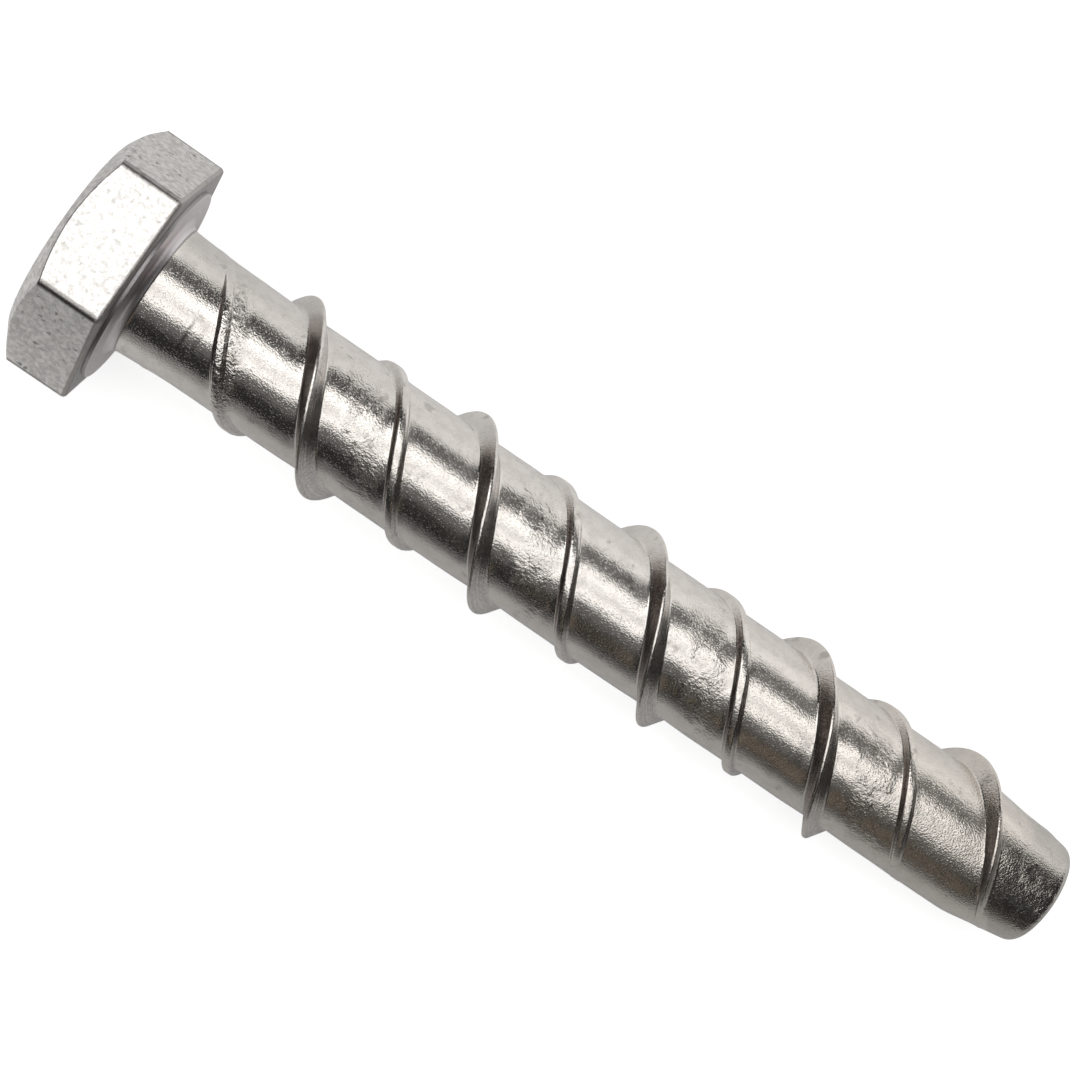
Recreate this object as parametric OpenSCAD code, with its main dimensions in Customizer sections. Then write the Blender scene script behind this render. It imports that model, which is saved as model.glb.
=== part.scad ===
// Concrete screw: a hexagon-head screw that cuts its own thread in a drilled hole.
// One forged and rolled steel piece: hexagon head with a washer face, short neck,
// straight core with two right-hand ridges, one high and one low, and a blunt nose.
// It lies as it comes to rest: on the lower edge of one flat of the head and on the
// last high ridge that passes underneath. Head towards -X, nose towards +X.

/* [Head] */
// Spanner that turns the head
spanner = 17; // [15:0.5:24]
// How far the forged flats measure under the spanner size
flat_clearance = 0.4; // [0.1:0.1:0.6]
// Height of the head from the bearing face to the top
head_height = 6.15; // [4.5:0.05:10]
// How far the washer face lies inside the flats
washer_face_inset = 0.8; // [0.4:0.1:1.4]
// How far the washer face stands proud of the hexagon
washer_face_h = 0.28; // [0.1:0.02:0.8]
// How far the flat top lies inside the flats
top_face_inset = 0.9; // [0.2:0.1:1.5]
// Angle of the chamfer round the top of the hexagon
chamfer_angle = 30; // [15:1:45]
// Radius on the lower edges of the hexagon
head_edge_r = 0.3; // [0.1:0.05:0.7]
// How far the corners of the hexagon are rounded off
corner_break = 0.05; // [0.02:0.01:0.3]

/* [Shank] */
// Length from the bearing face to the end of the nose
length = 75; // [60:1:150]
// Diameter of the core between the ridges
core_d = 9.32; // [8.8:0.02:10.4]
// How far the neck flares out from the core where it meets the head
neck_flare = 0.27; // [0.05:0.01:0.6]
// Length over which the neck narrows to the core
neck_length = 4.6; // [2:0.1:8]
// Radius of the fillet between the neck and the bearing face
neck_fillet_r = 0.9; // [0.2:0.05:1]
// Length of the tapered nose
nose_length = 5.4; // [3:0.1:12]
// Diameter of the nose at its end, before the edge is rounded
nose_end_d = 7.6; // [6.4:0.1:8.6]
// Radius on the edge of the nose
nose_edge_r = 0.9; // [0.3:0.05:1.5]

/* [Thread] */
// Advance of the ridges in one turn
lead = 13.96; // [10:0.02:20]
// Height of the high ridge above the core
high_ridge_h = 1.24; // [0.9:0.02:1.8]
// Width of the high ridge at the core
high_base_w = 1.8; // [1.2:0.1:2.4]
// Width of the crest of the high ridge
high_crest_w = 0.3; // [0.2:0.05:0.8]
// Height of the low ridge above the core
low_ridge_h = 0.53; // [0.3:0.01:0.85]
// Width of the low ridge at the core
low_base_w = 1.1; // [0.8:0.1:1.6]
// Width of the crest of the low ridge
low_crest_w = 0.6; // [0.2:0.05:0.7]
// Distance from the bearing face at which the ridges start
ridge_start = 3.2; // [3:0.1:12]
// Length over which a ridge rises from the core
run_in = 4.2; // [2:0.2:10]
// Distance from the end of the nose at which the high ridge dies out
high_end_gap = 2.4; // [1.8:0.1:6]
// Length over which the high ridge dies out
high_run_out = 6; // [2:0.2:10]
// Distance from the end of the nose at which the low ridge dies out
low_end_gap = 9.6; // [6:0.2:16]
// Length over which the low ridge dies out
low_run_out = 3.4; // [2:0.2:10]
// Angle from the upper flat at which the high ridge would meet the bearing face
thread_turn = 24; // [0:1:180]

/* [Hidden] */

// Round faces and arcs
$fn = 96;
// Steps in one turn of a ridge
turn_steps = 48;
// Steps in the arc of a fillet or a rounded edge
arc_steps = 8;
// How deep a ridge is rooted in the core
ridge_root = 0.5;
// How far a ridge's crest lies under the core where it starts and ends
ridge_sink = 0.04;

flats = spanner - flat_clearance;
flat_r = flats / 2;
corner_r = flats / sqrt(3) - corner_break;
top_face_r = flat_r - top_face_inset;
core_r = core_d / 2;
nose_end_r = nose_end_d / 2;
nose_start = length - nose_length;
nose_slope = (core_r - nose_end_r) / nose_length;
nose_angle = atan(nose_slope);
nose_flat_r = nose_end_r - nose_edge_r * (1 - sin(nose_angle)) / cos(nose_angle);
high_end = length - high_end_gap;
low_end = length - low_end_gap;

// The last place where the full high ridge passes straight under the screw
down_turn = 180 - thread_turn;
down_count = floor((high_end - high_run_out) / lead - down_turn / 360);
rest_ridge_x = lead * (down_count + down_turn / 360) + high_crest_w / 2;
// The lower edge of the flat that it lies on, and the tilt between the two
rest_edge_x = -washer_face_h - head_edge_r;
rest_tilt = atan((flat_r - core_r - high_ridge_h) / (rest_ridge_x - rest_edge_x));
rest_height = flat_r * cos(rest_tilt) + rest_edge_x * sin(rest_tilt);
// How far the tilted screw reaches along X on each side of the bearing face
reach_front = (length - nose_edge_r) * cos(rest_tilt) + nose_flat_r * sin(rest_tilt) + nose_edge_r;
reach_back = head_height * cos(rest_tilt) + top_face_r * sin(rest_tilt);

// Points of an arc from one angle to another
function arc(centre, r, from, to) =
    [for (i = [0:arc_steps])
        let (a = from + (to - from) * i / arc_steps)
        centre + r * [cos(a), sin(a)]];

// Half outline of the shank, from inside the head to the end of the nose
function shank_outline() =
    let (fillet_foot = core_r + neck_flare * (1 - neck_fillet_r / neck_length),
         fillet_centre = [fillet_foot + neck_fillet_r, neck_fillet_r])
    concat(
        [[0, -head_height / 2], [fillet_centre[0], -head_height / 2]],
        arc(fillet_centre, neck_fillet_r, 270, 180),
        [[core_r, neck_length], [core_r, nose_start]],
        arc([nose_flat_r, length - nose_edge_r], nose_edge_r, nose_angle, 90),
        [[0, length]]);

// Radius of the core or the nose under a ridge
function shank_r(z) = core_r - max(0, z - nose_start) * nose_slope;

// How far a ridge stands up, from 0 where it starts or ends to 1 at full height
function ease(t) = let (c = min(1, max(0, t))) c * c * (3 - 2 * c);
function rise(z, end, run_out) = ease((z - ridge_start) / run_in) * ease((end - z) / run_out);

// Section of a ridge at a place along the screw: radius and place of its four corners
function ridge_section(z, ridge_h, base_w, crest_w, up) =
    let (crest_r = shank_r(z) + ridge_h * up - ridge_sink * (1 - up),
         depth = ridge_h + ridge_root,
         half_crest = crest_w / 2,
         half_foot = half_crest + (base_w - crest_w) / 2 * depth / ridge_h)
    [[crest_r - depth, z - half_foot], [crest_r, z - half_crest],
     [crest_r, z + half_crest], [crest_r - depth, z + half_foot]];

// A ridge wound round the core, rising at its start and dying out at its end
module ridge(ridge_h, base_w, crest_w, end, run_out, turn) {
    steps = ceil((end - ridge_start) / lead * turn_steps);
    points = [
        for (i = [0:steps])
            let (z = ridge_start + (end - ridge_start) * i / steps,
                 a = turn + z / lead * 360)
            for (p = ridge_section(z, ridge_h, base_w, crest_w, rise(z, end, run_out)))
                [p[0] * cos(a), p[0] * sin(a), p[1]]
    ];
    sides = [
        for (i = [0:steps - 1], k = [0:3])
            let (j = (k + 1) % 4)
            [4 * i + k, 4 * i + j, 4 * (i + 1) + j, 4 * (i + 1) + k]
    ];
    first_end = [3, 2, 1, 0];
    last_end = [for (k = [0:3]) 4 * steps + k];
    polyhedron(points, concat(sides, [first_end, last_end]), convexity = 10);
}

// Two opposite flats of the head, with their lower edges rounded
module flat_pair() {
    rotate([90, 0, 0])
        linear_extrude(4 * corner_r, center = true)
            difference() {
                translate([-flat_r, -head_height])
                    square([flats, head_height - washer_face_h]);
                for (side = [-1, 1])
                    translate([side * flat_r, -washer_face_h])
                        difference() {
                            square(2 * head_edge_r, center = true);
                            translate([-side * head_edge_r, -head_edge_r])
                                circle(head_edge_r);
                        }
            }
}

// Hexagon head, chamfered at the top, with the washer face under it
module head() {
    chamfer_drop = (corner_r - top_face_r) * tan(chamfer_angle);
    intersection() {
        flat_pair();
        rotate([0, 0, 60]) flat_pair();
        rotate([0, 0, 120]) flat_pair();
        rotate_extrude()
            polygon([[0, 0], [corner_r, 0], [corner_r, chamfer_drop - head_height],
                     [top_face_r, -head_height], [0, -head_height]]);
    }
    translate([0, 0, -head_height / 2])
        cylinder(r = flat_r - washer_face_inset, h = head_height / 2);
}

// The whole screw, laid down in its rest pose with the middle of its length at the origin
module screw() {
    color("silver")
        translate([(reach_back - reach_front) / 2, 0, rest_height])
            rotate([180, rest_tilt - 90, 0]) {
                head();
                rotate_extrude() polygon(shank_outline());
                ridge(high_ridge_h, high_base_w, high_crest_w, high_end, high_run_out, thread_turn);
                ridge(low_ridge_h, low_base_w, low_crest_w, low_end, low_run_out, thread_turn + 180);
            }
}

screw();
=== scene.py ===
# %% [markdown]
# A concrete screw is one piece of steel: a forged hexagon head, a straight core, and two
# ridges rolled round it, one high and one low, that cut into the wall of a drilled hole.
# It could be built from parts pushed into each other. Here it becomes one closed mesh, as
# the real one is one piece: first the thread, then the neck and the nose, then the head.

# %% Load the CAD frame
import math
import bmesh
import bpy
from mathutils import Matrix, Quaternion, Vector, noise


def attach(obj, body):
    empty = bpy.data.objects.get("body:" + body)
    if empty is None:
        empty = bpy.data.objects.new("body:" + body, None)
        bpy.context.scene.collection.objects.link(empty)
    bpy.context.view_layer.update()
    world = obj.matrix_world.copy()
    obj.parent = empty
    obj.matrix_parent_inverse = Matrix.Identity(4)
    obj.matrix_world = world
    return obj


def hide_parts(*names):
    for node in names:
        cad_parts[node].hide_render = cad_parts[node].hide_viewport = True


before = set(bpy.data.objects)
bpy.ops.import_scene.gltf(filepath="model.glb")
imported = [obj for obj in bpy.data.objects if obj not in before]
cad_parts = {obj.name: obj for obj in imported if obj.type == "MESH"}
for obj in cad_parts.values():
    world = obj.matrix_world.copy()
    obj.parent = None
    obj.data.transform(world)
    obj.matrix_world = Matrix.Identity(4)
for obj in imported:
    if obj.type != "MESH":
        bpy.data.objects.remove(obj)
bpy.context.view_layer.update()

# %% [markdown]
# The thread is the core with its ridges. Both ridges climb by one lead in each turn, half
# a turn apart. The sizes are those of the CAD source, in millimetres, and the screw is
# modelled in its own frame: z runs from the bearing face under the head to the end of the
# nose, and x points to the upper flat. That keeps every formula short.

# %% Sizes of the thread
core_r = 4.66
lead = 13.96
thread_turn = math.radians(24)
high_h = 1.24
low_h = 0.53
turn_steps = 160
print("lead", lead, "mm in", turn_steps, "steps")

# %% [markdown]
# A ridge is rolled, not cut: its foot runs into the core with a fillet and its crest is
# rounded. A bevel along the finished spiral could round it too, but it would have to
# cross thousands of edges, so the arcs are drawn into the outline. Each side is drawn by
# itself, because the head side of the high ridge is steeper than its nose side.

# %% Side of a ridge
arc_steps = 4


def ridge_side(height, foot_w, crest_w, foot_r, crest_r, flank_steps):
    slope = math.atan2(height, foot_w - crest_w / 2)
    foot = foot_w + foot_r * math.tan(slope / 2)
    shoulder = crest_w / 2 - crest_r * math.tan(slope / 2)
    side = []
    crest = []
    for i in range(arc_steps + 1):
        a = slope * i / arc_steps
        side.append((foot - foot_r * math.sin(a), foot_r * (1 - math.cos(a))))
        a = slope * (1 - i / arc_steps)
        crest.append((shoulder + crest_r * math.sin(a), height - crest_r * (1 - math.cos(a))))
    low, top = side[-1], crest[0]
    for i in range(1, flank_steps):
        t = i / flank_steps
        side.append((low[0] + (top[0] - low[0]) * t, low[1] + (top[1] - low[1]) * t))
    return side + crest


steep = ridge_side(high_h, foot_w=0.64, crest_w=0.22, foot_r=0.3, crest_r=0.15, flank_steps=4)
easy = ridge_side(high_h, foot_w=0.9, crest_w=0.22, foot_r=0.3, crest_r=0.15, flank_steps=4)
low_side = ridge_side(low_h, foot_w=0.55, crest_w=0.6, foot_r=0.15, crest_r=0.2, flank_steps=2)
print("points on one side of a ridge:", len(steep), "high,", len(low_side), "low")

# %% [markdown]
# Along the screw the thread repeats after one lead: core, high ridge, core, low ridge.
# The core and the ridges could be wound one by one and joined later. Drawing one lead as
# a single chain of points makes them one skin from the start, with no seams to close.

# %% Outline of one lead


def ridge_outline(middle, before, after):
    to_crest = [(middle - place, rise) for place, rise in before]
    from_crest = [(middle + place, rise) for place, rise in reversed(after)]
    return to_crest + from_crest


def straight(start, end, steps):
    return [(start + (end - start) * i / steps, 0.0) for i in range(1, steps)]


high_ridge = ridge_outline(0, steep, easy)
low_ridge = ridge_outline(lead / 2, low_side, low_side)
first_place = -lead / 4
last_place = lead * 3 / 4
outline = [(first_place, 0.0)]
outline += straight(first_place, high_ridge[0][0], 5) + high_ridge
outline += straight(high_ridge[-1][0], low_ridge[0][0], 10) + low_ridge
outline += straight(low_ridge[-1][0], last_place, 5) + [(last_place, 0.0)]
print("outline of one lead:", len(outline), "points")

# %% [markdown]
# The dies wind both ridges at once, and so does this step. A Screw modifier could do it,
# but its points come only when it is applied. The spin operator turns the outline once
# round the axis while it moves it along by one lead, and its points are there at once.

# %% Wind one turn
screw = bmesh.new()
first_turn = -0.6


def chain_of(bm, points, angle):
    verts = [bm.verts.new((r * math.cos(angle), r * math.sin(angle), z)) for r, z in points]
    edges = [bm.edges.new(pair) for pair in zip(verts, verts[1:])]
    return verts + edges


start_z = first_turn * lead
spots = [(core_r + rise, start_z + place) for place, rise in outline]
bmesh.ops.spin(
    screw, geom=chain_of(screw, spots, thread_turn + first_turn * math.tau),
    cent=(0, 0, 0), axis=(0, 0, 1), dvec=(0, 0, lead / turn_steps),
    angle=math.tau, steps=turn_steps,
)
print("one turn:", len(screw.faces), "faces")

# %% [markdown]
# The thread runs on for about five turns. Spinning the outline through all of them is
# slow, so the first turn is copied along the axis, a lead at a time. Merging the points
# where the turns meet closes the wall, and two planes trim it at the neck and the nose.

# %% Repeat the turn and trim the wall
turns = 7
wall_start = 2.4
wall_end = 73.3


def everything(bm):
    return bm.verts[:] + bm.edges[:] + bm.faces[:]


def only(kind, geometry):
    return [g for g in geometry if isinstance(g, kind)]


one_turn = everything(screw)
for turn in range(1, turns):
    copied = bmesh.ops.duplicate(screw, geom=one_turn)["geom"]
    copied_verts = only(bmesh.types.BMVert, copied)
    bmesh.ops.translate(screw, verts=copied_verts, vec=(0, 0, turn * lead))
bmesh.ops.remove_doubles(screw, verts=screw.verts, dist=0.008)
for place, way in ((wall_start, -1), (wall_end, 1)):
    bmesh.ops.bisect_plane(
        screw, geom=everything(screw), dist=0.002,
        plane_co=(0, 0, place), plane_no=(0, 0, way), clear_outer=True,
    )
print("wall:", len(screw.faces), "faces")

# %% [markdown]
# Without its ridges the shank is a turned shape: a neck that flares towards the head, a
# straight core and a tapered nose. It could be spun from a second outline. A function
# of the place along the screw is enough, because the wall already has its points, and
# they only have to move in or out.

# %% Shank without ridges
length = 75.0
nose_start = 69.6
nose_end_r = 3.8
nose_slope = (core_r - nose_end_r) / (length - nose_start)
nose_soft = 0.8
neck_flare = 0.27
flare_length = 6.5


def shank_r(z):
    past = z - nose_start
    if past > nose_soft:
        drop = nose_slope * past
    elif past > -nose_soft:
        drop = nose_slope * (past + nose_soft) ** 2 / (4 * nose_soft)
    else:
        drop = 0.0
    flare = neck_flare * max(0.0, 1 - z / flare_length) ** 2
    return core_r - drop + flare


print("radius at both ends of the wall:", shank_r(wall_start), shank_r(wall_end))

# %% [markdown]
# Rolling presses steel out of the core and into the ridges, so the core is never quite
# even. It is a little thinner beside the high ridge, and in front of the last turn of
# that ridge it is clearly thinner on one side. Sculpting could show this, but Blender's
# noise function and two short formulas give the same result in every run.

# %% Unevenness of the core
slow_waves = 0.22
slow_depth = 0.03
quick_waves = 0.7
quick_depth = 0.010
quick_shift = Vector((7, 3, 1))
waist_depth = 0.05
spent_depth = 0.3
spent_gap = 1.3
spent_run_in = 4.0
spent_run_out = 4.4
last_turn = 60.0


def ease(t):
    t = min(1.0, max(0.0, t))
    return t * t * (3 - 2 * t)


def uneven(spot):
    slow = noise.noise(spot * slow_waves) * slow_depth
    quick = noise.noise(spot * quick_waves + quick_shift) * quick_depth
    return slow + quick


def waist(past_ridge):
    if past_ridge >= lead / 4:
        return 0.0
    return waist_depth * math.cos(past_ridge / (lead / 4) * math.pi / 2) ** 2


def spent(z, angle, past_ridge):
    if z - past_ridge <= last_turn:
        return 0.0
    one_side = max(0.0, -math.sin(angle))
    begun = ease((past_ridge - spent_gap) / spent_run_in)
    not_over = ease((wall_end - z) / spent_run_out)
    return spent_depth * one_side * begun * not_over


print("core thinner by up to", spent_depth, "mm in front of the last turn")

# %% [markdown]
# The ridges rise slowly behind the neck and die out near the nose, the low one first. A
# ridge could be made lower by scaling it, but it would get blunt. On the real screw it
# keeps its crest, so here it sinks into the core, with a soft foot where it goes under.

# %% How far a ridge stands up
ridge_start = 3.2
run_in = 4.2
ridge_sink = 0.04
foot_soft = 0.10


def sunk_by(ridge_h, ridge_z, ridge_end, run_out):
    up = ease((ridge_z - ridge_start) / run_in) * ease((ridge_end - ridge_z) / run_out)
    return (1 - up) * (ridge_h + ridge_sink)


def left_standing(rise, sunk):
    soft = min(foot_soft, sunk * 0.5)
    left = rise - sunk
    return (left + math.hypot(left, soft)) / 2 - soft * soft / 4 / max(sunk, foot_soft / 2)


print("high ridge half way up its run-in:", left_standing(high_h, high_h / 2), "mm")

# %% [markdown]
# Now the wound wall becomes the real shank. Shape keys or a lattice could bend it, but
# each point knows its ridge and its place along it, so a loop over the points is exact:
# a point keeps its angle and its place, and only moves in or out.

# %% Raise and fade the ridges
high_end = 72.6
high_run_out = 6.0
low_end = 65.4
low_run_out = 3.4
even_length = 3
even_height = 0.5


def raised_r(spot):
    angle = math.atan2(spot.y, spot.x)
    rise = math.hypot(spot.x, spot.y) - core_r
    ridge_place = lead * (angle - thread_turn) / math.tau
    past_ridge = (spot.z - ridge_place + lead / 4) % lead - lead / 4
    if past_ridge < lead / 4:
        sunk = sunk_by(high_h, spot.z - past_ridge, high_end, high_run_out)
    else:
        sunk = sunk_by(low_h, spot.z - past_ridge + lead / 2, low_end, low_run_out)
    standing = left_standing(rise, sunk)
    from_start = (spot.z - wall_start) / even_length
    from_end = (wall_end - spot.z) / even_length
    on_core = ease(from_start) * ease(from_end) * (1 - min(1, standing / even_height))
    plain_r = shank_r(spot.z) - spent(spot.z, angle, past_ridge)
    return plain_r + max(0.0, standing) + (uneven(spot) - waist(past_ridge)) * on_core


for v in screw.verts:
    angle = math.atan2(v.co.y, v.co.x)
    r = raised_r(v.co)
    v.co.x = r * math.cos(angle)
    v.co.y = r * math.sin(angle)
print("ridges raised from", ridge_start, "mm to", high_end, "and", low_end, "mm")

# %% [markdown]
# The neck meets the head in a fillet, and under the hexagon lies a round washer face. A
# Boolean could join a turned collar to the wall, but it leaves slivers along the cut. So
# both grow out of the trimmed rim: it is extruded and laid on the next circle, again
# and again, and every ring keeps the points of the wall.

# %% Neck and washer face
washer_r = 7.5
washer_h = 0.28
washer_edge = 0.08
fillet_r = 0.9
round_steps = 8
neck_rings = (2.15, 1.9, 1.65, 1.4, 1.2, 1.05)
washer_rings = (6.2, 6.8, 7.3, washer_r - washer_edge)


def rim_edges(bm, z):
    rim = [e for e in bm.edges if e.is_boundary]
    return [e for e in rim if all(abs(v.co.z - z) < 0.01 for v in e.verts)]


def grow(bm, rim, rings):
    for r, z in rings:
        made = bmesh.ops.extrude_edge_only(bm, edges=rim)["geom"]
        for v in only(bmesh.types.BMVert, made):
            angle = math.atan2(v.co.y, v.co.x)
            v.co = (r * math.cos(angle), r * math.sin(angle), z)
        rim = [e for e in only(bmesh.types.BMEdge, made) if e.is_boundary]
    return rim


neck = [(shank_r(z), z) for z in neck_rings]
fillet_middle = shank_r(fillet_r) + fillet_r
for i in range(round_steps + 1):
    a = math.pi / 2 * i / round_steps
    neck.append((fillet_middle - fillet_r * math.cos(a), fillet_r * (1 - math.sin(a))))
neck += [(r, 0.0) for r in washer_rings]
neck.append((washer_r - washer_edge * 0.3, -washer_edge * 0.3))
neck += [(washer_r, -washer_edge), (washer_r, -washer_h)]
grow(screw, rim_edges(screw, wall_start), neck)
print("neck and washer face:", len(neck), "rings")

# %% [markdown]
# The nose is blunt, with a rounded edge that finds the drilled hole. A bevel on a plain
# end could round it, but growing it from the other rim, ring by ring, is the same step
# as for the neck, and the rings can lie closer together where the edge bends.

# %% Nose
nose_edge_r = 0.9
taper_ring = 73.7
end_rings = (2.7, 1.6, 0.6)
nose_angle = math.atan(nose_slope)
nose_flat_r = nose_end_r - nose_edge_r * (1 - math.sin(nose_angle)) / math.cos(nose_angle)
nose = [(shank_r(taper_ring), taper_ring)]
for i in range(round_steps + 1):
    a = nose_angle + (math.pi / 2 - nose_angle) * i / round_steps
    edge_z = length - nose_edge_r + nose_edge_r * math.sin(a)
    nose.append((nose_flat_r + nose_edge_r * math.cos(a), edge_z))
nose += [(r, length) for r in end_rings]
nose_rim = grow(screw, rim_edges(screw, wall_end), nose)
bmesh.ops.edgeloop_fill(screw, edges=nose_rim)
print("with neck and nose:", len(screw.faces), "faces")

# %% [markdown]
# A real head is a turned or forged blank with six flats, and where a flat cuts the cone
# of the chamfer it leaves a bowed edge. A six-sided prism with a bevel would have
# straight edges there. So a turned blank is cut by six planes, and each cut is filled.

# %% Cut the head from a turned blank
flat_r = 8.3
head_height = 6.15
top_face_r = 7.4
chamfer_angle = math.radians(30)
blank_r = 10.5
chamfer_foot = -head_height + (blank_r - top_face_r) * math.tan(chamfer_angle)
blank = [(top_face_r, -head_height), (blank_r, chamfer_foot), (blank_r, -washer_h)]
# A third of a step turns the edges of the blank off the middle of the upper flat
blank_turn = math.tau / turn_steps / 3
head = bmesh.new()
bmesh.ops.spin(
    head, geom=chain_of(head, blank, blank_turn), cent=(0, 0, 0), axis=(0, 0, 1),
    angle=math.tau, steps=turn_steps, use_merge=True,
)
bmesh.ops.edgeloop_fill(head, edges=rim_edges(head, -head_height))
bmesh.ops.edgeloop_fill(head, edges=rim_edges(head, -washer_h))
bmesh.ops.recalc_face_normals(head, faces=head.faces)
for k in range(6):
    way = Vector((math.cos(k * math.pi / 3), math.sin(k * math.pi / 3), 0))
    cut = bmesh.ops.bisect_plane(
        head, geom=everything(head), dist=0.0005,
        plane_co=way * flat_r, plane_no=way, clear_outer=True,
    )["geom_cut"]
    bmesh.ops.edgeloop_fill(head, edges=only(bmesh.types.BMEdge, cut))
bmesh.ops.recalc_face_normals(head, faces=head.faces)
print("head:", len(head.faces), "faces")

# %% [markdown]
# No forged edge is sharp. The lower edges have the largest round, the six corners a
# smaller one, and the bowed edges and the top rim are only broken, so they catch light.
# A Bevel modifier would treat them alike. So each kind is found by the faces beside it
# and gets its own width. The large faces then get a narrow border, which keeps their
# shading flat up to the rounded edges.

# %% Round the edges of the head
corner_width = 0.25
lower_width = 0.3
bowed_width = 0.07
top_width = 0.15


def face_kind(face):
    if face.normal.z < -0.97:
        return "top"
    if face.normal.z < -0.6:
        return "cone"
    if abs(face.normal.z) < 0.02:
        return "side"
    return "other"


def edges_between(bm, first, second):
    wanted = [first, second]
    return [e for e in bm.edges if sorted(face_kind(f) for f in e.link_faces) == wanted]


def bevel(bm, edges, width, segments):
    bmesh.ops.bevel(
        bm, geom=edges, offset=width, offset_type="OFFSET", affect="EDGES",
        segments=segments, profile=0.5, material=-1, clamp_overlap=False,
    )
    bmesh.ops.recalc_face_normals(bm, faces=bm.faces)


bevel(head, edges_between(head, "side", "side"), corner_width, 4)
lower = [e for e in head.edges if all(abs(v.co.z + washer_h) < 0.001 for v in e.verts)]
bevel(head, lower, lower_width, 5)
bevel(head, edges_between(head, "cone", "side"), bowed_width, 2)
bevel(head, edges_between(head, "cone", "top"), top_width, 3)
bmesh.ops.remove_doubles(head, verts=head.verts, dist=0.002)
large_faces = [f for f in head.faces if f.calc_area() > 20]
bmesh.ops.inset_individual(head, faces=large_faces, thickness=0.05, depth=0)
print("head with rounded edges:", len(head.faces), "faces,", len(large_faces), "of them large")

# %% [markdown]
# Head and shank are one piece of steel, so they become one mesh. A Boolean union could
# join them, but their two rims lie in one plane: filling the flat ring between them is
# simpler and leaves one closed skin.

# %% Join head and shank
lowest = -washer_h - 0.01
facing_shank = [f for f in head.faces if f.normal.z > 0.99]
under = [f for f in facing_shank if f.calc_center_median().z > lowest]
bmesh.ops.delete(head, geom=under, context="FACES")
head_mesh = bpy.data.meshes.new("head_part")
head.to_mesh(head_mesh)
head.free()
screw.from_mesh(head_mesh)
bpy.data.meshes.remove(head_mesh)
both_rims = [e for e in screw.edges if e.is_boundary]
bmesh.ops.triangle_fill(screw, use_beauty=True, edges=both_rims, normal=(0, 0, 1))
bmesh.ops.recalc_face_normals(screw, faces=screw.faces)
left_open = sum(1 for e in screw.edges if len(e.link_faces) != 2)
print("screw:", len(screw.faces), "faces,", left_open, "open edges")

# %% [markdown]
# A screw on a table leans: it lies on the lower edge of one flat of the head and on the
# last full high ridge that passes underneath. The tilt follows from those two places, as
# in the CAD source. The object could be turned, but patterns on it would then turn when
# it is exported. So tilt and place go into the mesh, and millimetres become metres.

# %% Lay the screw down
crest_w = 0.3
down_turn = math.pi - thread_turn
down_count = math.floor((high_end - high_run_out) / lead - down_turn / math.tau)
rest_ridge = lead * (down_count + down_turn / math.tau) + crest_w / 2
rest_edge = -washer_h - lower_width
tilt = math.atan((flat_r - core_r - high_h) / (rest_ridge - rest_edge))
lean = math.sin(tilt)
level = math.cos(tilt)
reach_front = (length - nose_edge_r) * level + nose_flat_r * lean + nose_edge_r
reach_back = head_height * level + top_face_r * lean
bearing = Vector(((reach_back - reach_front) / 2, 0, flat_r * level + rest_edge * lean))
lie = Matrix((
    (lean, 0, level, bearing.x),
    (0, -1, 0, bearing.y),
    (level, 0, -lean, bearing.z),
    (0, 0, 0, 1),
))
bmesh.ops.transform(screw, matrix=Matrix.Scale(0.001, 4) @ lie, verts=screw.verts)
print("tilt", math.degrees(tilt), "degrees, bearing face at", bearing)

# %% [markdown]
# The finished mesh takes the place of the plain CAD solid and rides on its body. Faces
# are shaded smooth, and edges sharper than 40 degrees stay crisp. A modifier could do
# that too, but marking the edges on the mesh leaves nothing live on the piece.

# %% Hand over the mesh
for f in screw.faces:
    f.smooth = True
mesh = bpy.data.meshes.new("concrete_screw")
screw.to_mesh(mesh)
screw.free()
mesh.set_sharp_from_angle(angle=math.radians(40))
body = bpy.data.objects.new("concrete_screw", mesh)
bpy.context.scene.collection.objects.link(body)
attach(body, "root")
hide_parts("screw")
print("triangles:", sum(len(p.vertices) - 2 for p in mesh.polygons))

# %% [markdown]
# The screw is plated with zinc, a bright, slightly warm metal, and what makes it look
# real is where it varies. A painted image could carry that, but nodes have no seams and
# stay sharp from close by. These helpers add nodes to the tree that is being built and
# give back their output, so that the recipes below read like sums.

# %% Helpers for sums of nodes


def new_material(name):
    material = bpy.data.materials.new(name)
    material.use_nodes = True
    nodes = material.node_tree.nodes
    return material, material.node_tree, nodes["Principled BSDF"]


def node(type_name, inputs=None, **settings):
    made = tree.nodes.new(type_name)
    for name, value in settings.items():
        setattr(made, name, value)
    for socket, value in (inputs or {}).items():
        if isinstance(value, bpy.types.NodeSocket):
            tree.links.new(value, made.inputs[socket])
        else:
            made.inputs[socket].default_value = value
    return made


def calc(operation, a, b=0.0):
    return node("ShaderNodeMath", {0: a, 1: b}, operation=operation).outputs[0]


def both(*values):
    result = values[0]
    for value in values[1:]:
        result = calc("MULTIPLY", result, value)
    return result


def total(*values):
    result = values[0]
    for value in values[1:]:
        result = calc("ADD", result, value)
    return result


zinc, tree, zinc_shader = new_material("zinc_plated_steel")
print("empty material", zinc.name)

# %% [markdown]
# Surfaces rarely change along a hard line. A Color Ramp node could soften the change,
# but its stops go from 0 to 1 only. A Map Range with a smooth step takes millimetres, so
# a mask can say where on the screw it begins and ends. Clouds of noise break masks up.

# %% Helpers for soft masks


def ramp(value, low, high, out_low=0.0, out_high=1.0):
    return node("ShaderNodeMapRange", {
        "Value": value, "From Min": low, "From Max": high, "To Min": out_low, "To Max": out_high,
    }, interpolation_type="SMOOTHSTEP").outputs["Result"]


def between(value, start, end, soft):
    return both(ramp(value, start - soft, start + soft), ramp(value, end + soft, end - soft))


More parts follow.
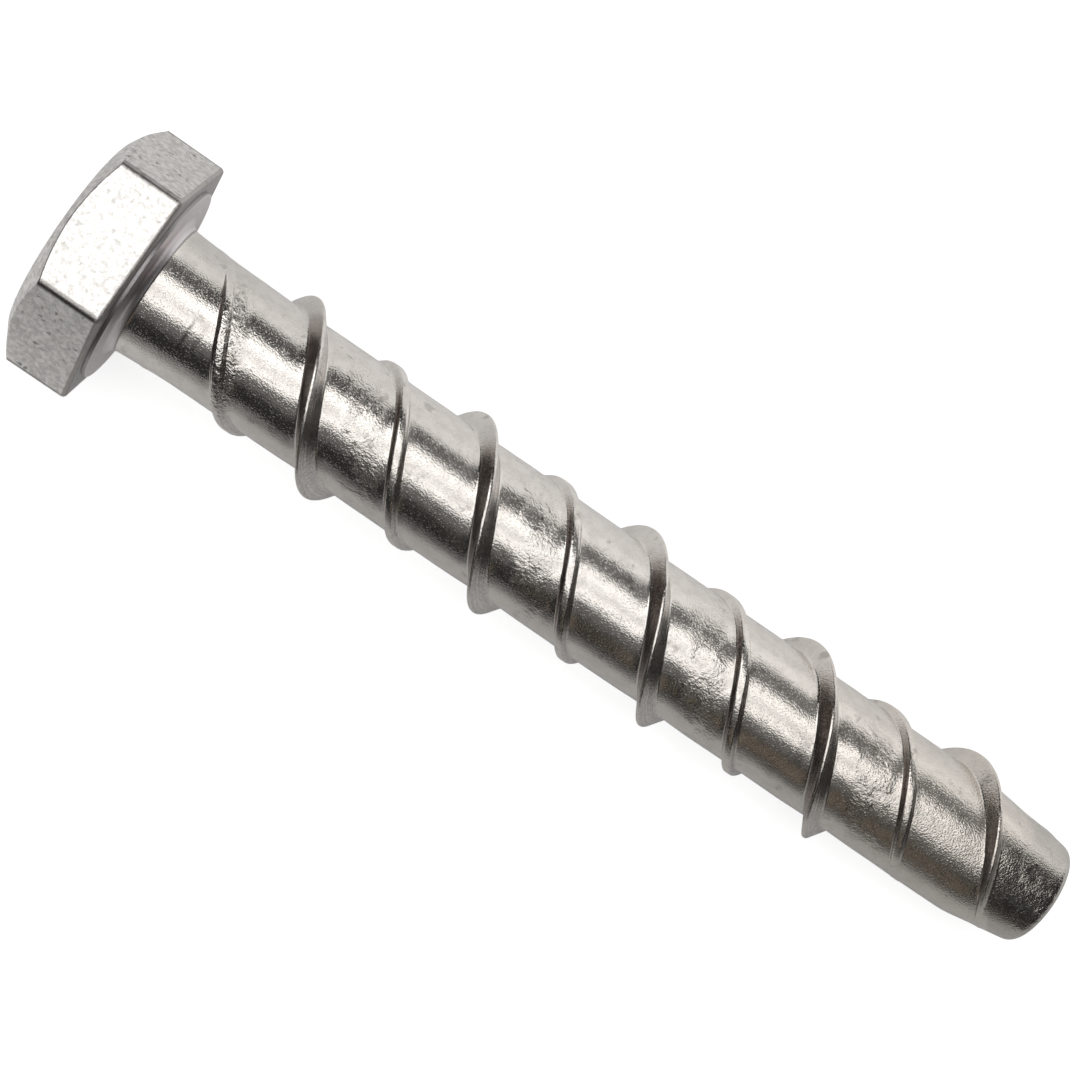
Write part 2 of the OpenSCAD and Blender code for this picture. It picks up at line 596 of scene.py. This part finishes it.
def clouds(place, scale, detail=2.0, rough=0.5):
    return node("ShaderNodeTexNoise", {
        "Vector": place, "Scale": scale, "Detail": detail, "Roughness": rough,
    }).outputs[0]


def blend(amount, first, second):
    return node("ShaderNodeMix", {0: amount, 6: first, 7: second}, data_type="RGBA").outputs[2]


print("helpers for soft masks ready")

# %% [markdown]
# Marks of the forge and the dies follow the screw, not the table it lies on. A UV map
# could follow it too, but a closed spiral has no good place for a seam. So Object
# coordinates are moved and turned back into the screw's own frame, in millimetres, and
# give the place along it, round it, away from its axis and past the high ridge.

# %% Places on the screw
along_bearing = bearing.x * level - bearing.z * lean
up_bearing = bearing.x * lean + bearing.z * level
coordinates = node("ShaderNodeTexCoord")
screw_place = node("ShaderNodeMapping", {
    "Vector": coordinates.outputs["Object"], "Location": (-along_bearing, 0, -up_bearing),
    "Rotation": (0, -tilt, 0), "Scale": (1000, 1000, 1000),
}).outputs["Vector"]
split = node("ShaderNodeSeparateXYZ", {"Vector": screw_place})
along = split.outputs["X"]
aside = split.outputs["Y"]
above = split.outputs["Z"]
turned = calc("ARCTAN2", both(aside, -1.0), above)
from_axis = calc("SQRT", total(both(aside, aside), both(above, above)))
# Leads are counted from a quarter before the high ridge, so that none begins on a ridge
quarter = 0.25
wound = calc("SUBTRACT", calc("DIVIDE", along, lead), calc("DIVIDE", turned, math.tau))
wound = total(wound, thread_turn / math.tau + quarter)
past_high = both(calc("SUBTRACT", calc("FRACT", wound), quarter), lead)
facing_nose = node("ShaderNodeVectorMath", {
    0: coordinates.outputs["Normal"], 1: (level, 0, -lean),
}, operation="DOT_PRODUCT").outputs["Value"]
print("places on the screw set")

# %% [markdown]
# The core is almost a mirror under a fine grain. In a band before each low ridge the
# dies left a coarser grain, rubbed away in patches, and near the nose a speckle takes
# over. Displacing the mesh would take millions of faces for marks this small, so the
# patterns are made here as clouds of noise and only bend the light later on.

# %% Grain of the shank
low_place = lead / 2
on_shank = between(along, 1.0, 76, 0.1)
at_nose = ramp(along, 54, 65)
fine = clouds(screw_place, 9.0, 1.0, 0.6)
coarse = clouds(screw_place, 4.8, 2.0, 0.6)
speckle = clouds(screw_place, 7.2, 1.0, 0.6)
glint = both(on_shank, ramp(fine, 0.60, 0.72))
still_rough = ramp(clouds(screw_place, 0.45, 2.0, 0.6), 0.42, 0.60)
die_band = between(past_high, low_place - 4.3, low_place - 1.3, 0.5)
die_mark = both(die_band, ramp(along, 9, 12), ramp(still_rough, 0, 1, 0.3, 1.0))
print("grain of the shank made")

# %% [markdown]
# A forged head has a cloudy surface with small specks and larger, ragged pits. They
# could be modelled one by one. Here each Voronoi cell offers one pit, the cell's random
# colour decides whether it is there, and noise added to its place makes it ragged. On
# the upper flat the pits are rubbed and weaker.

# %% Specks and pits of the head
on_head = ramp(along, -0.2, -0.35)
cloudy = clouds(screw_place, 2.4, 2.0, 0.65)
speck = ramp(clouds(screw_place, 3.4, 2.0, 0.65), 0.60, 0.72)
wobble = node("ShaderNodeTexNoise", {
    "Vector": screw_place, "Scale": 3.0, "Detail": 1.0,
}).outputs["Color"]
ragged_place = node("ShaderNodeVectorMath", {
    0: wobble, 1: (0.6, 0.6, 0.6), 2: screw_place,
}, operation="MULTIPLY_ADD").outputs["Vector"]
cells = node("ShaderNodeTexVoronoi", {"Vector": ragged_place, "Scale": 1.9})
chance = node("ShaderNodeSeparateColor", {"Color": cells.outputs["Color"]}).outputs["Red"]
off_upper_flat = ramp(calc("ABSOLUTE", turned), 0.45, 0.65, 0.4, 1.0)
pit = both(ramp(cells.outputs["Distance"], 0.42, 0.18), ramp(chance, 0.74, 0.90), off_upper_flat)
head_speck = both(on_head, calc("MAXIMUM", both(speck, 0.14), pit))
print("specks and pits made")

# %% [markdown]
# Where the dies first bite, the start of the low ridge is scaly, and just before it lie
# two short dark roll marks. The core also has a few faint stains. Each mark could be a
# decal, but a mask along and round the screw, broken up by noise, needs no extra mesh.

# %% Marks on the shank
scale_band = between(past_high, low_place - 0.2, low_place + 1.5, 0.5)
scaly = both(between(along, 5.2, 9.0, 0.9), scale_band)
scale_form = clouds(screw_place, 2.8, 2.0, 0.65)
stain = both(on_shank, ramp(clouds(screw_place, 0.62, 3.0, 0.62), 0.60, 0.70))
first_mark = between(along, 4.16, 4.4, 0.1)
second_mark = both(between(along, 5.0, 5.3, 0.15), 0.5)
roll_mark = both(
    total(first_mark, second_mark),
    between(turned, 0.15, 0.6, 0.15), ramp(coarse, 0.3, 0.5),
)
print("marks on the shank made")

# %% [markdown]
# Each tool leaves its own surface: the washer face is brushed, the edges of the head are
# dull, and the sides of a ridge were dragged along the dies. Separate materials could
# show that, but with hard borders. These masks have soft ones. The two sides of a ridge
# are told apart by the way the surface faces, towards the head or towards the nose, and
# the head side counts only where it lies uppermost, where painted shade is laid on it.

# %% Zones of the screw
washer = both(between(along, -0.36, 0.60, 0.05), ramp(from_axis, 4.7, 4.9))
# The washer wall, the neck line, the lower edge and the corner line get painted shade below
washer_wall = both(between(along, -0.34, -0.02, 0.02), ramp(from_axis, 7.42, 7.46))
neck_line = between(along, 0.54, 0.66, 0.05)
lower_edge = both(between(along, -0.60, -0.32, 0.04), ramp(from_axis, 7.75, 7.9))
corner_line = both(ramp(along, -0.5, -0.7), ramp(from_axis, 9.38, 9.46))
threaded = between(along, 3.0, 73.0, 0.5)
# The head side is kept to its upper part, where painted shade is laid on it
upper_side = between(total(turned, ramp(along, 45, 66, 0.0, -0.3)), -0.66, 0.95, 0.25)
head_side = both(threaded, upper_side, ramp(facing_nose, -0.35, -0.75))
nose_side = both(threaded, ramp(facing_nose, 0.35, 0.75))
# The front of the nose gets painted shade below, besides more roughness and less speckle
nose_front = both(ramp(along, 70.6, 71.6), ramp(past_high, 0.6, 1.0))
print("zones set")

# %% [markdown]
# Brushing and dragging leave streaks that run round the screw. Noise stretched along
# one axis of the object would run straight across it. Noise on the places along, away
# from the axis and round, with the last one counted slowly, bends the streaks round.

# %% Brushed and dragged streaks
ring_place = node("ShaderNodeCombineXYZ", {
    "X": along, "Y": from_axis, "Z": both(turned, 0.3),
}).outputs[0]
ring_scaled = node("ShaderNodeMapping", {
    "Vector": ring_place, "Scale": (9, 9, 1),
}).outputs["Vector"]
brushed = clouds(ring_scaled, 1.0, 2.0)
ridge_place = node("ShaderNodeCombineXYZ", {
    "X": both(past_high, 7.0), "Y": both(from_axis, 7.0), "Z": turned,
}).outputs[0]
streak = clouds(ridge_place, 1.0, 2.0, 0.6)
ridge_grain = both(clouds(screw_place, 5.5, 2.0, 0.7), 1.6)
grainy = ramp(total(streak, ridge_grain), 0.9, 1.7)
print("streaks made")

# %% [markdown]
# Zinc on the core is warm, and darker and browner towards the nose, with faint smoky
# clouds. The head is paler and cloudier. One colour all over would look like paint, so
# the tone is mixed in steps, each laid over the last by a mask.

# %% Zinc of shank and head
tone = blend(ramp(along, 35, 75), (0.70, 0.662, 0.622, 1), (0.65, 0.605, 0.55, 1))
smoky = ramp(clouds(screw_place, 1.1, 2.0, 0.6), 0.40, 0.66, 0.0, 0.17)
tone = blend(smoky, tone, (0.36, 0.325, 0.285, 1))
head_tone = blend(ramp(cloudy, 0.3, 0.7), (0.81, 0.785, 0.755, 1), (0.54, 0.52, 0.50, 1))
tone = blend(on_head, tone, head_tone)
print("zinc of shank and head mixed")

# %% [markdown]
# On the ridges the side towards the head gets painted shade, dark with a brown tint,
# most of all on the near side. The side towards the nose gets a painted highlight, pale
# and grainy. A gradient could do it, but the streaks make both look dragged.

# %% Painted shade and light on the ridges
# Painted shade with a brown tint on the head side of the ridges
painted_flank_shade = blend(grainy, (0.15, 0.115, 0.10, 1), (0.56, 0.475, 0.44, 1))
tone = blend(both(head_side, 0.85), tone, painted_flank_shade)
# Deeper painted shade on the near part of the head side
painted_near_shade = both(head_side, between(turned, 0.15, 0.85, 0.25))
tone = blend(both(painted_near_shade, 0.5), tone, (0.085, 0.068, 0.06, 1))
# Painted highlight on the nose side of the ridges, grainy and streaked, weaker towards the nose
painted_flank_light = blend(grainy, (0.40, 0.38, 0.375, 1), (0.86, 0.83, 0.815, 1))
tone = blend(both(nose_side, ramp(along, 55, 68, 0.6, 0.25)), tone, painted_flank_light)
print("zinc of the ridges mixed")

# %% [markdown]
# The last layers are small: the brushed washer face, painted shade in thin dark lines on
# the washer wall under the head, in the fillet of the neck and on the rounded lower edge
# and corners of the head, the pits of the head, the marks on the shank, and painted
# shade on the front of the nose. They could each have a recipe, but all work alike, so
# one loop lays a tone over each zone.

# %% Zinc of marks, with painted shade on edges
washer_tone = blend(brushed, (0.48, 0.445, 0.46, 1), (0.86, 0.81, 0.83, 1))
dark_scale = both(scaly, ramp(scale_form, 0.42, 0.62))
layers = (
    (washer, 0.8, washer_tone),
    # Painted shade on the washer wall under the head
    (washer_wall, 0.8, (0.30, 0.285, 0.285, 1)),
    # Painted shade in the fillet of the neck
    (neck_line, 0.7, (0.16, 0.15, 0.15, 1)),
    # Painted shade on the rounded lower edge of the head
    (lower_edge, 0.8, (0.43, 0.405, 0.385, 1)),
    # Painted shade on the rounded corners of the head
    (corner_line, 0.7, (0.20, 0.19, 0.18, 1)),
    (head_speck, 0.74, (0.15, 0.14, 0.13, 1)),
    (dark_scale, 0.42, (0.22, 0.205, 0.185, 1)),
    (stain, 0.45, (0.25, 0.235, 0.21, 1)),
    (roll_mark, 0.7, (0.10, 0.095, 0.085, 1)),
    # Painted shade on the front of the nose
    (nose_front, 0.32, (0.30, 0.30, 0.28, 1)),
)
for zone, share, layer_tone in layers:
    tone = blend(both(zone, share), tone, layer_tone)
tree.links.new(tone, zinc_shader.inputs["Base Color"])
print("edges and marks:", len(layers), "layers")

# %% [markdown]
# Polished zinc mirrors its surroundings, and brushed or grainy zinc scatters them. Gloss
# could be painted as light and dark, but then it would not move with the light. So each
# dull zone only adds to the roughness, and the metal itself is the same all over.

# %% Roughness
zinc_shader.inputs["Metallic"].default_value = 1.0
dullness = total(
    ramp(calc("MAXIMUM", die_mark, at_nose), 0, 1, 0.14, 0.19),
    both(on_head, 0.15),
    both(washer, 0.22),
    both(lower_edge, 0.15),
    both(total(head_side, nose_side), 0.12),
    both(nose_front, 0.03),
)
tree.links.new(dullness, zinc_shader.inputs["Roughness"])
print("roughness set")

# %% [markdown]
# Grain, specks and streaks are at most a few hundredths of a millimetre high, and only
# the scale is higher. Real relief that fine is too much for a mesh, so the heights are
# added up in millimetres and a Bump node bends the reflections by them.

# %% Height
nose_speckle = both(ramp(at_nose, 0, 1, 0.003, 0.021), ramp(nose_front, 0, 1, 1.0, 0.62))
height = total(
    both(fine, 0.0145),
    both(glint, 0.004),
    both(coarse, ramp(die_mark, 0, 1, 0.005, 0.064)),
    both(speckle, nose_speckle),
    both(cloudy, on_head, 0.009),
    both(on_head, speck, -0.006),
    both(scaly, scale_form, 0.14),
    both(calc("MAXIMUM", washer, lower_edge), brushed, 0.02),
    both(calc("MAXIMUM", head_side, nose_side), streak, 0.03),
)
bump = node("ShaderNodeBump", {"Height": height, "Strength": 1.0, "Distance": 0.001})
tree.links.new(bump.outputs["Normal"], zinc_shader.inputs["Normal"])
mesh.materials.append(zinc)
print("material made of", len(tree.nodes), "nodes")

# %% [markdown]
# The stage is a plain pale floor, as a sheet of paper in a studio. A backdrop that
# curves up could stand behind it, but the camera looks down and sees only the floor, so
# one large square is enough. Paper has no gloss.

# %% Floor
floor_half = 2.5
floor_form = bmesh.new()
bmesh.ops.create_grid(floor_form, x_segments=1, y_segments=1, size=floor_half)
floor_mesh = bpy.data.meshes.new("floor")
floor_form.to_mesh(floor_mesh)
floor_form.free()
floor = bpy.data.objects.new("floor", floor_mesh)
bpy.context.scene.collection.objects.link(floor)
paper, tree, paper_shader = new_material("floor_paper")
paper_shader.inputs["Roughness"].default_value = 1.0
paper_shader.inputs["Specular IOR Level"].default_value = 0.0
paper_shader.inputs["Emission Color"].default_value = (1, 1, 1, 1)
floor_mesh.materials.append(paper)
print("floor laid,", 2 * floor_half, "m wide")

# %% [markdown]
# For the camera the floor has a white glow of its own, so the shadow on it stays pale.
# The metal sees another floor: darker in front, and with a faint glow behind the screw and
# in front of its head, as white cards give in a studio. Real cards could lie there, but
# the camera would see them. A Light Path node tells the two kinds of ray apart.

# %% Light of the floor
paper_white = 0.8
seen = node("ShaderNodeLightPath").outputs["Is Camera Ray"]
floor_spot = node("ShaderNodeTexCoord").outputs["Object"]
floor_split = node("ShaderNodeSeparateXYZ", {"Vector": floor_spot})
lengthwise = floor_split.outputs["X"]
far_side = floor_split.outputs["Y"]
away = node("ShaderNodeVectorMath", {0: floor_spot}, operation="LENGTH").outputs["Value"]
by_head = ramp(lengthwise, -0.018, -0.042, 0.03, 0.24)
by_core = ramp(lengthwise, -0.037, -0.018, 0.22, 0.41)
card_glow = total(
    both(by_core, ramp(far_side, -0.006, 0.025)),
    ramp(far_side, 0.04, 0.2, 0.0, 0.22),
    both(by_head, ramp(far_side, 0.02, -0.01)),
)
camera_glow = ramp(away, 0.2, 0.7, 0.72, 1.0)
own_glow = node("ShaderNodeMix", {0: seen, 2: card_glow, 3: camera_glow}).outputs[0]
tree.links.new(own_glow, paper_shader.inputs["Emission Strength"])
dim_front = ramp(far_side, -0.05, -0.018, 0.22, paper_white)
paleness = node("ShaderNodeMix", {0: seen, 2: dim_front, 3: paper_white}).outputs[0]
tree.links.new(paleness, paper_shader.inputs["Base Color"])
print("light of the floor set")

# %% [markdown]
# Metal looks like what stands round it. Soft boxes overhead, in four parts with a dimmer
# strip between them, light the flat on top and draw the bright bands on the core. Two
# screens stand behind, two faint fills hang beside the boxes, and a small brown screen in
# front warms the nose. One big light would leave the core without its dark bands.

# %% Lights
overhead_z = 0.5
down = (0, 0, -1)
to_front = (0, -1, 0)
to_back = (0, 1, 0)


def soft_box(name, middle, faces, size, glow):
    light = bpy.data.lights.new(name, "AREA")
    light.shape = "RECTANGLE"
    light.size = size[0]
    light.size_y = size[1]
    light.energy = glow * math.pi * size[0] * size[1]
    lamp = bpy.data.objects.new(name, light)
    lamp.location = middle
    lamp.rotation_mode = "QUATERNION"
    lamp.rotation_quaternion = Vector(faces).to_track_quat("-Z", "Y")
    bpy.context.scene.collection.objects.link(lamp)
    return lamp


soft_box("head_near", (-0.22, -0.1825, overhead_z), down, (0.36, 0.189), 1.75)
soft_box("head_far", (-0.22, 0.106, overhead_z), down, (0.36, 0.212), 2.3)
soft_box("nose_near", (0.11, -0.1825, overhead_z), down, (0.30, 0.189), 1.5)
soft_box("nose_far", (0.11, 0.106, overhead_z), down, (0.30, 0.212), 1.55)
soft_box("overhead_middle", (-0.07, -0.044, overhead_z), down, (0.66, 0.088), 0.9)
soft_box("near_fill", (-0.05, -0.48, overhead_z), down, (0.9, 0.40), 0.13)
soft_box("far_fill", (0.19, 0.42, overhead_z), down, (0.44, 0.4), 0.18)
soft_box("back_screen", (-0.265, 0.6, 0.22), to_front, (0.67, 0.4), 0.9)
soft_box("back_screen_nose", (0.335, 0.6, 0.22), to_front, (0.53, 0.4), 1.1)
brown = soft_box("front_screen", (0.22, -0.6, 0.2), to_back, (0.20, 0.32), 0.16)
brown.data.color = (1.0, 0.82, 0.62)
print("lights:", len(bpy.data.lights))

# %% [markdown]
# Beyond the lights the studio is dark, and the metal mirrors that in its dark bands. The
# camera would see it past the edge of the floor, so for the camera alone the world is
# white. The Standard view keeps the tones as they are, where a filmic one greys white.

# %% Surroundings
world = bpy.data.worlds.new("surroundings")
bpy.context.scene.world = world
world.use_nodes = True
tree = world.node_tree
sky = tree.nodes["Background"]
sky.inputs["Color"].default_value = (1, 1, 1, 1)
seen = node("ShaderNodeLightPath").outputs["Is Camera Ray"]
sky_glow = node("ShaderNodeMapRange", {"Value": seen, "To Min": 0.03, "To Max": 1.0})
tree.links.new(sky_glow.outputs["Result"], sky.inputs["Strength"])
bpy.context.scene.view_settings.view_transform = "Standard"
print("surroundings set")

# %% [markdown]
# The camera looks down on the screw from close by, as in the picture, and is turned
# about its own line of sight so that the head comes to the upper left. A Track To
# constraint could aim it, but not roll it, so its turn is worked out here.

# %% Camera
camera_azimuth = math.radians(-19.891)
camera_elevation = math.radians(82.646)
camera_roll = math.radians(53.933)
camera_distance = 0.163064
aim = Vector((-0.002651, 0.000837, 0.0069))
back = Vector((
    math.sin(camera_azimuth) * math.cos(camera_elevation),
    -math.cos(camera_azimuth) * math.cos(camera_elevation),
    math.sin(camera_elevation),
))
lens = bpy.data.cameras.new("camera")
lens.sensor_width = 36
lens.lens = 78.858
lens.clip_start = 0.005
camera = bpy.data.objects.new("camera", lens)
camera.location = aim + back * camera_distance
camera.rotation_mode = "QUATERNION"
upright = (-back).to_track_quat("-Z", "Y")
camera.rotation_quaternion = upright @ Quaternion((0, 0, 1), camera_roll)
bpy.context.scene.collection.objects.link(camera)
bpy.context.scene.camera = camera
print("camera at", camera.location)
